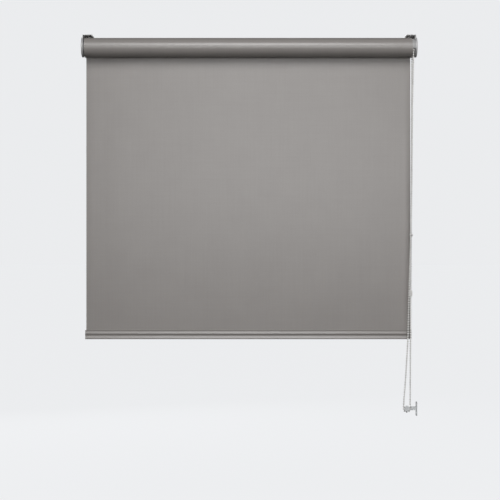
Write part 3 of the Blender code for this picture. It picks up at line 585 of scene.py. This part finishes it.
def add_length_map(obj, across, along):
    """A UV map in metres: across the blind, and along the fabric."""
    layer = obj.data.uv_layers.new(name="cloth")
    for loop in obj.data.loops:
        layer.data[loop.index].uv = (across[loop.vertex_index], along[loop.vertex_index])


def ripple(value, seed):
    """A small smooth wander between -1 and 1."""
    return (
        0.5 * math.sin(1.7 * value + seed)
        + 0.3 * math.sin(3.1 * value + 2.3 * seed)
        + 0.2 * math.sin(5.3 * value + 1.1 * seed)
    )


def band_faces(base, following, count):
    """The faces between two rings of a wound sheet: both sides of the cloth and both edges."""
    faces = []
    for column in range(count - 1):
        faces.append((base + column, base + column + 1, following + column + 1, following + column))
        upper = count + column
        faces.append((base + upper, following + upper, following + upper + 1, base + upper + 1))
    for end in (0, count - 1):
        quad = (base + end, following + end, following + count + end, base + count + end)
        faces.append(quad if end == 0 else tuple(reversed(quad)))
    return faces


def build_roll():
    """The wound fabric: a spiral of wraps whose edges show at both ends, inside a last full wrap."""
    wrap = FABRIC_THICKNESS
    outer = ROLL_RADIUS
    first = TUBE_RADIUS + TUBE_CLEARANCE
    turns = (outer - wrap - first) / wrap
    steps = int(turns * WRAP_STEPS)
    half = FABRIC_WIDTH / 2
    thickness = wrap * WRAP_FILL
    near_edge = half - EDGE_STATION
    stations = [-half, -half + EDGE_STATION, -half / 2, 0.0, half / 2, near_edge, half]
    count = len(stations)
    row = 2 * count
    vertices = []
    across = []
    along = []
    faces = []
    for step in range(steps + 1):
        angle = 2 * math.pi * step / WRAP_STEPS
        radius = first + wrap * step / WRAP_STEPS
        travelled = radius * angle
        for level in (radius, radius + thickness):
            for station in stations:
                x = station
                if abs(station) > half - EDGE_BAND:
                    side, seed = (1, 1.0) if station > 0 else (-1, 2.2)
                    x += EDGE_WANDER * ripple(angle * EDGE_PACE, seed)
                    x -= EDGE_INSET * side
                vertices.append((x, level * math.cos(angle), AXIS.z + level * math.sin(angle)))
                across.append(x)
                along.append(travelled)
    for step in range(steps):
        faces.extend(band_faces(step * row, (step + 1) * row, count))
    for base, flip in ((0, False), (steps * row, True)):
        for column in range(count - 1):
            low = base + column
            quad = (low, low + count, low + count + 1, low + 1)
            faces.append(tuple(reversed(quad)) if flip else quad)
    spiral = mesh_object("fabric_wraps", vertices, faces)
    add_length_map(spiral, across, along)

    around = LAST_WRAP_STEPS
    vertices = []
    across = []
    along = []
    faces = []
    for step in range(around):
        angle = 2 * math.pi * step / around
        for level in (outer - thickness, outer):
            for station in stations:
                vertices.append((station, level * math.cos(angle), AXIS.z + level * math.sin(angle)))
                across.append(station)
                along.append(outer * angle)
    for step in range(around):
        faces.extend(band_faces(step * row, ((step + 1) % around) * row, count))
    sleeve = mesh_object("fabric_last_wrap", vertices, faces)
    add_length_map(sleeve, across, along)

    material = weave_fabric("roll_weave", "UV")
    for piece, length in ((spiral, travelled), (sleeve, 2 * math.pi * outer)):
        piece.data.materials.append(material)
        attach(piece, "roller")
    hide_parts("fabric_roll")


def build_hanging_fabric():
    """The hanging drop: off the back of the roll, straight down and into the rail's mouth."""
    half = FABRIC_WIDTH / 2
    thickness = CLOTH_THICKNESS
    columns = CLOTH_COLUMNS
    top = AXIS.z
    bottom = PANEL_LOW.z + MOUTH_CLEARANCE
    path = []
    for step in range(LEAD_STEPS):
        fade = step / LEAD_STEPS
        angle = LEAD_ANGLE * (1 - fade)
        lift = ROLL_RADIUS * math.sin(angle) * math.tan(SWING_LIMIT)
        inner = ROLL_RADIUS + LEAD_GAP + lift
        thick = LEAD_EDGE + (thickness - LEAD_EDGE) * fade
        path.append((inner * math.cos(angle), AXIS.z + inner * math.sin(angle), thick))
    start_y = ROLL_RADIUS + DROP_GAP
    settled = (PANEL_LOW.y + PANEL_HIGH.y) / 2 - thickness / 2
    for step in range(CLOTH_ROWS + 1):
        t = step / CLOTH_ROWS
        z = top + (bottom - top) * t
        y = start_y + (settled - start_y) * min(1.0, t * SETTLE_RATE)
        path.append((y, z, thickness))
    vertices = []
    faces = []
    for y, z, _ in path:
        below_roll = min(1.0, max(0.0, (top - z) / FADE_BELOW_ROLL))
        above_rail = min(1.0, max(0.0, (z - bottom) / FADE_ABOVE_RAIL))
        hang = below_roll * above_rail
        for column in range(columns + 1):
            x = -half + FABRIC_WIDTH * column / columns
            wave = WAVE_HEIGHT * (1.0 + ripple(x * WAVE_SCALE, 0.7)) * hang
            edge = max(0.0, (abs(x) - (half - CUP_WIDTH)) / CUP_WIDTH)
            cup = CUP_DEPTH * edge * edge * hang
            vertices.append((x, y + wave + cup, z))
    front_count = len(vertices)
    width = columns + 1
    for index, (y, z, thick) in enumerate(path):
        for column in range(width):
            x, front_y, front_z = vertices[index * width + column]
            outward = math.atan2(z - AXIS.z, y) if index < LEAD_STEPS else 0.0
            back_y = front_y + thick * math.cos(outward)
            back_z = front_z + thick * math.sin(outward)
            vertices.append((x, back_y, back_z))
    last = len(path) - 1
    for index in range(last):
        for column in range(columns):
            a = index * width + column
            b = a + width
            faces.append((a, b, b + 1, a + 1))
            c = a + front_count
            d = b + front_count
            faces.append((c, c + 1, d + 1, d))
        for column in (0, columns):
            a = index * width + column
            b = a + width
            quad = (a, a + front_count, b + front_count, b)
            faces.append(quad if column == 0 else tuple(reversed(quad)))
    for index in (0, last):
        for column in range(columns):
            a = index * width + column
            quad = (a, a + 1, a + 1 + front_count, a + front_count)
            faces.append(quad if index == 0 else tuple(reversed(quad)))
    panel = mesh_object("hanging_cloth", vertices, faces)
    panel.data.materials.append(weave_fabric("hanging_weave", "Object"))
    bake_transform(panel)
    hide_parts("fabric_panel")


# ---------------------------------------------------------------- the rest of the blind

def build_pin_spring(material):
    """The idle pin's coil spring, as long as the CAD spring. The real spring shortens as the pin is pushed
    in; this coil keeps its length.
    """
    radius = (SPRING_HIGH.z - SPRING_LOW.z) / 2 - SPRING_WIRE / 2
    start = SPRING_LOW.x + SPRING_WIRE / 2
    end = SPRING_HIGH.x - SPRING_WIRE / 2
    sides = SPRING_SIDES
    count = SPRING_TURNS * SPRING_STEPS
    slope = (end - start) / (2 * math.pi * SPRING_TURNS)
    vertices = []
    faces = []
    for step in range(count + 1):
        angle = 2 * math.pi * step / SPRING_STEPS
        outward = Vector((0.0, math.cos(angle), math.sin(angle)))
        centre = Vector((start + slope * angle, 0.0, AXIS.z)) + radius * outward
        along = Vector((slope, -radius * math.sin(angle), radius * math.cos(angle))).normalized()
        across = along.cross(outward)
        for side in range(sides):
            turn = 2 * math.pi * side / sides
            vertices.append(centre + SPRING_WIRE / 2 * (outward * math.cos(turn) + across * math.sin(turn)))
    for step in range(count):
        for side in range(sides):
            low = step * sides
            after = (side + 1) % sides
            faces.append((low + side, low + after, low + sides + after, low + sides + side))
    faces.append(tuple(reversed(range(sides))))
    faces.append(tuple(range(count * sides, (count + 1) * sides)))
    spring = mesh_object("pin_spring_coil", vertices, faces)
    face_outwards(spring)
    spring.data.materials.append(material)
    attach(spring, "roller")
    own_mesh(spring)
    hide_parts("idle_pin_spring")


def dress_frame():
    silver = satin_metal("cover_satin", (0.48, 0.48, 0.48), 0.4, 0.15)
    dress(["control_cover", "idle_cover"], silver)
    dress(["control_bracket", "idle_bracket"], satin_metal("bracket_paint", (0.60, 0.60, 0.60), 0.42, 0.1))
    dress(["roller_tube"], satin_metal("tube_mill", (0.56, 0.57, 0.58), 0.36, 1.0))
    steel = satin_metal("bright_steel", (0.52, 0.53, 0.54), 0.28, 1.0)
    dress(["clutch_washer", "clutch_screw", "wrap_spring_1", "wrap_spring_2", "idle_pin"], steel)
    build_pin_spring(steel)
    grey = moulded_plastic("grey_nylon", (0.33, 0.33, 0.335), 0.5)
    dress(["clutch_hub", "tube_adapter", "idle_plug"], grey)
    dress(["chain_guard"], moulded_plastic("guard_plastic", (0.42, 0.42, 0.42), 0.4))
    dress(["clutch_drum", "pin_retainer"], moulded_plastic("dark_nylon", (0.05, 0.05, 0.055), 0.5))
    white = moulded_plastic("white_plastic", (0.76, 0.76, 0.745), 0.42)
    dress(["chain_wheel", "idle_bush", "fabric_spline", "rail_fabric_strip"], white)
    gloss = moulded_plastic("chain_gloss", (0.80, 0.79, 0.77), 0.26, coat=0.3)
    dress(["chain_connector", "stop_bead"], gloss)
    dress(["bottom_rail"], powder_coat("rail_coat", (0.29, 0.272, 0.26), 0.32))
    cap = moulded_plastic("cap_plastic", (0.28, 0.265, 0.255), 0.4)
    dress(["rail_end_cap_left", "rail_end_cap_right"], cap)
    dress(["safety_clip"], milky_plastic("clip_clear", (0.92, 0.94, 0.95), 0.25))


bpy.context.scene.view_settings.view_transform = "Standard"
build_camera()
build_world()
build_floor()
build_lights()
build_chain()
build_roll()
build_hanging_fabric()
dress_frame()
